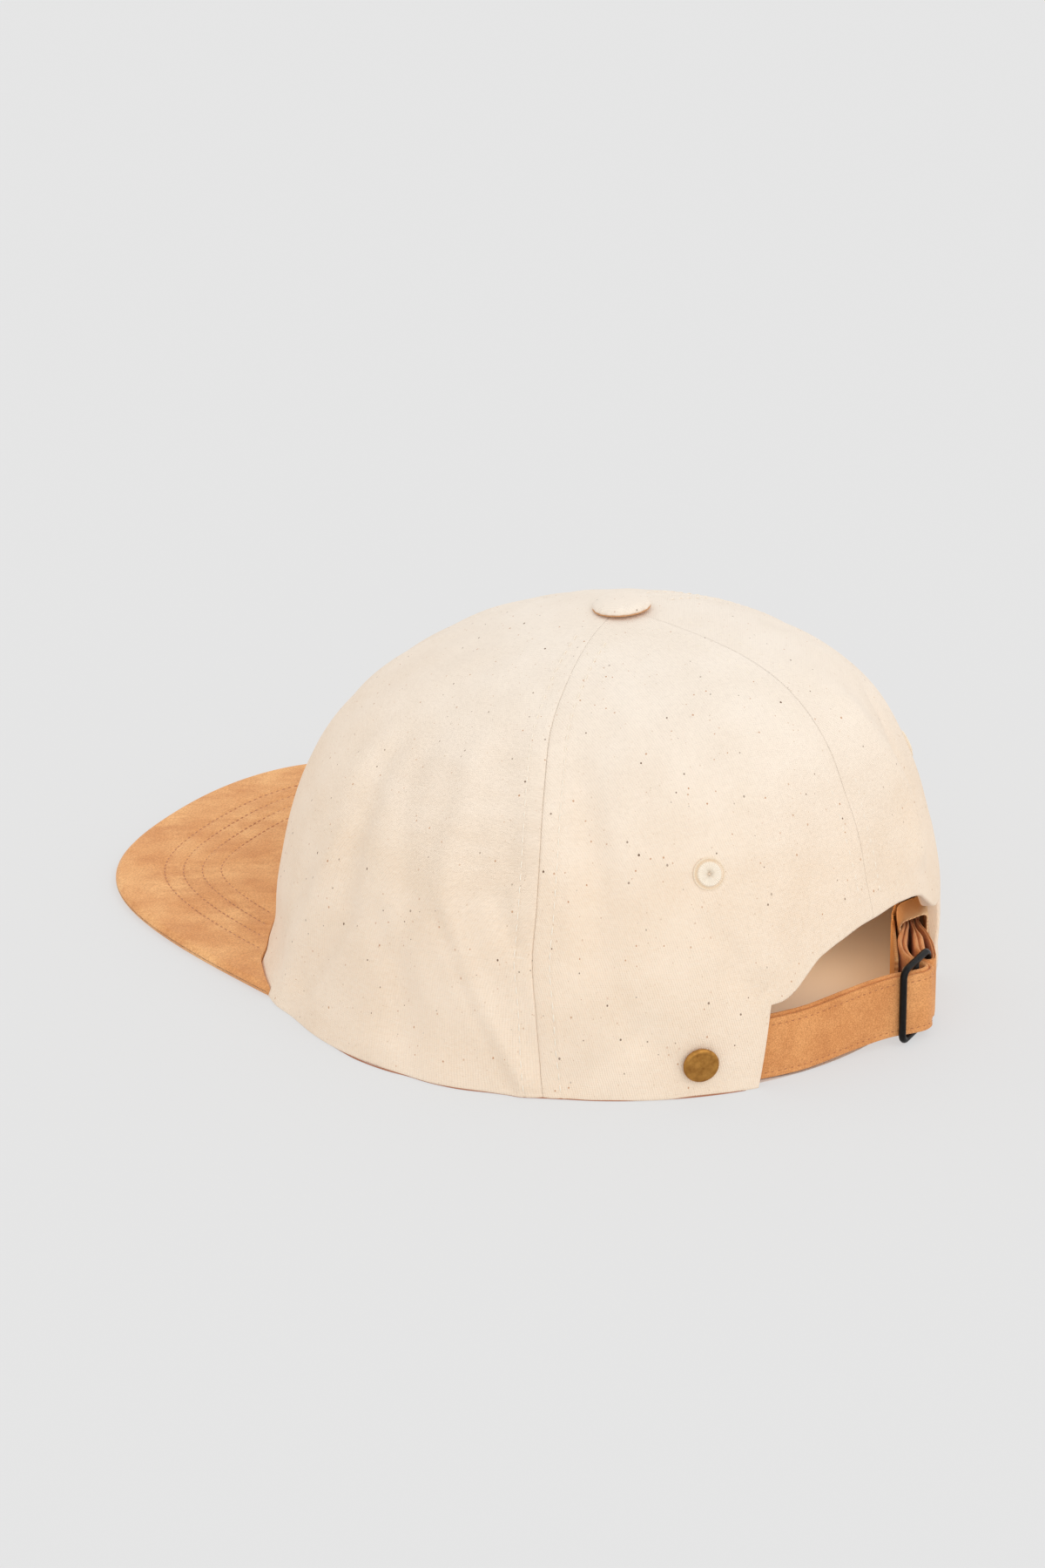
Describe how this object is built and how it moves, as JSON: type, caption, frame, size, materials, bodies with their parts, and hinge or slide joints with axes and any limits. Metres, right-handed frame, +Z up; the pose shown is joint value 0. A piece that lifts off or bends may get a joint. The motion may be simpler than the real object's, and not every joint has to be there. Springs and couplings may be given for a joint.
{
  "type": "three-panel cap",
  "caption": "Soft cotton cap with one wide front panel and two back panels, a flat suede peak, and a suede strap closed by a wire slide at the rear opening.",
  "frame": {"origin": "on the surface the cap rests on, under the middle of its box", "axes": "+Z up through the button, the peak points along -Y, the wearer's left is +X"},
  "size_m": [0.191, 0.2504, 0.1079],
  "materials": {
    "cotton_twill": "natural cotton twill with tiny brown flecks",
    "cotton_thread": "embroidered cotton thread",
    "tan_suede": "napped tan suede",
    "tan_twill": "ribbed twill tape",
    "black_wire": "satin black enamel",
    "aged_brass": "brushed, slightly darkened"
  },
  "bodies": {
    "root": {"front_panel": "cotton_twill", "left_back_panel": "cotton_twill", "right_back_panel": "cotton_twill", "top_button": "cotton_twill", "peak": "tan_suede", "sweatband": "tan_twill", "strap": "tan_suede", "strap_anchor": "tan_suede", "twill_loop": "tan_twill", "wire_slide": "black_wire", "rivet_cap": "aged_brass", "eyelet_left": "cotton_thread", "eyelet_right": "cotton_thread"}
  },
  "joints": []
}
